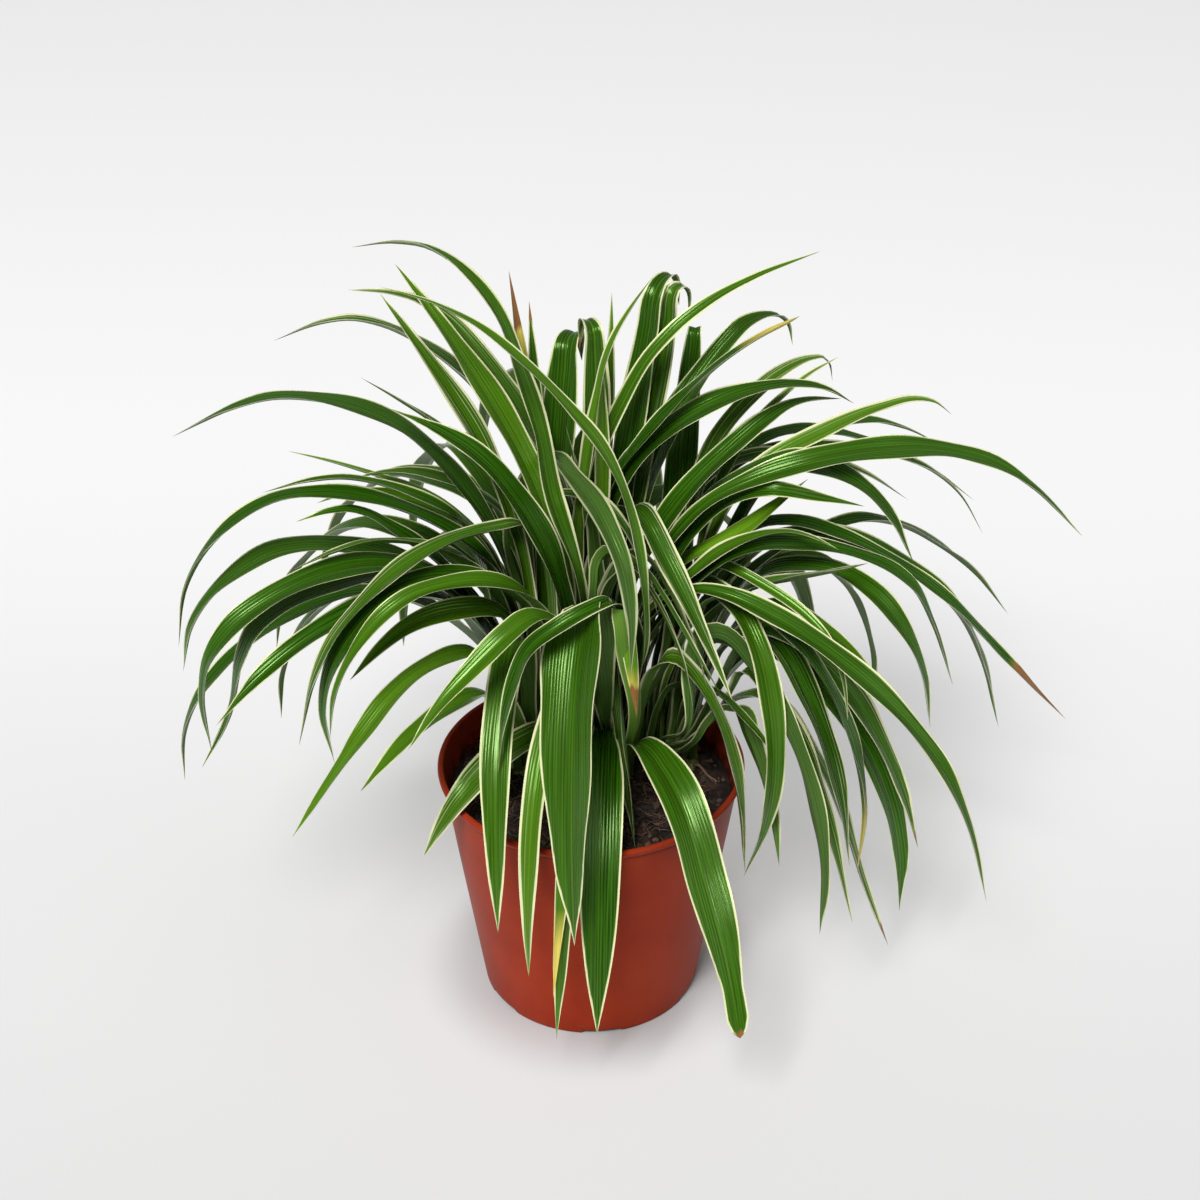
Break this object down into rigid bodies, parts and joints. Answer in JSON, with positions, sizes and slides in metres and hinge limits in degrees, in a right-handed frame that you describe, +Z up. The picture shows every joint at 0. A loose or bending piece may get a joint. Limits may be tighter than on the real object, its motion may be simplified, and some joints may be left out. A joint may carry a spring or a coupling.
{
  "type": "potted spider plant",
  "caption": "Spider plant with arching green leaves edged in cream, growing from several crowns in a round tapered plastic nursery pot filled with soil.",
  "frame": {"origin": "centre of the pot's flat underside, on the surface that it stands on", "axes": "+Z up along the pot's axis; -Y is the front, the side that is seen; +X is to the right seen from the front"},
  "size_m": [0.3558, 0.2557, 0.3066],
  "materials": {
    "pot_plastic": "satin terracotta-coloured thin moulded plastic, lightly scuffed",
    "soil": "dark moist peat with bark crumbs and fibres",
    "crown_flesh": "pale fleshy leaf bases",
    "leaf": "glossy green leaf with fine lengthwise veins and cream margins"
  },
  "bodies": {
    "root": {"crown_back": "crown_flesh", "crown_front": "crown_flesh", "crown_left": "crown_flesh", "crown_middle": "crown_flesh", "crown_right": "crown_flesh", "leaf_pair_back_01": "leaf", "leaf_pair_back_02": "leaf", "leaf_pair_back_03": "leaf", "leaf_pair_back_04": "leaf", "leaf_pair_back_05": "leaf", "leaf_pair_back_06": "leaf", "leaf_pair_back_07": "leaf", "leaf_pair_back_08": "leaf", "leaf_pair_back_09": "leaf", "leaf_pair_back_10": "leaf", "leaf_pair_back_11": "leaf", "leaf_pair_front_01": "leaf", "leaf_pair_front_02": "leaf", "leaf_pair_front_03": "leaf", "leaf_pair_front_04": "leaf", "leaf_pair_front_05": "leaf", "leaf_pair_front_06": "leaf", "leaf_pair_front_07": "leaf", "leaf_pair_front_08": "leaf", "leaf_pair_front_09": "leaf", "leaf_pair_left_01": "leaf", "leaf_pair_left_02": "leaf", "leaf_pair_left_03": "leaf", "leaf_pair_left_04": "leaf", "leaf_pair_left_05": "leaf", "leaf_pair_left_06": "leaf", "leaf_pair_left_07": "leaf", "leaf_pair_left_08": "leaf", "leaf_pair_left_09": "leaf", "leaf_pair_middle_01": "leaf", "leaf_pair_middle_02": "leaf", "leaf_pair_middle_03": "leaf", "leaf_pair_middle_04": "leaf", "leaf_pair_middle_05": "leaf", "leaf_pair_middle_06": "leaf", "leaf_pair_middle_07": "leaf", "leaf_pair_middle_08": "leaf", "leaf_pair_middle_09": "leaf", "leaf_pair_middle_10": "leaf", "leaf_pair_middle_11": "leaf", "leaf_pair_middle_12": "leaf", "leaf_pair_right_01": "leaf", "leaf_pair_right_02": "leaf", "leaf_pair_right_03": "leaf", "leaf_pair_right_04": "leaf", "leaf_pair_right_05": "leaf", "leaf_pair_right_06": "leaf", "leaf_pair_right_07": "leaf", "leaf_pair_right_08": "leaf", "leaf_pair_right_09": "leaf", "leaf_pair_right_10": "leaf", "leaf_pair_right_11": "leaf", "leaf_pair_right_12": "leaf", "pot": "pot_plastic", "potting_soil": "soil"}
  },
  "joints": []
}
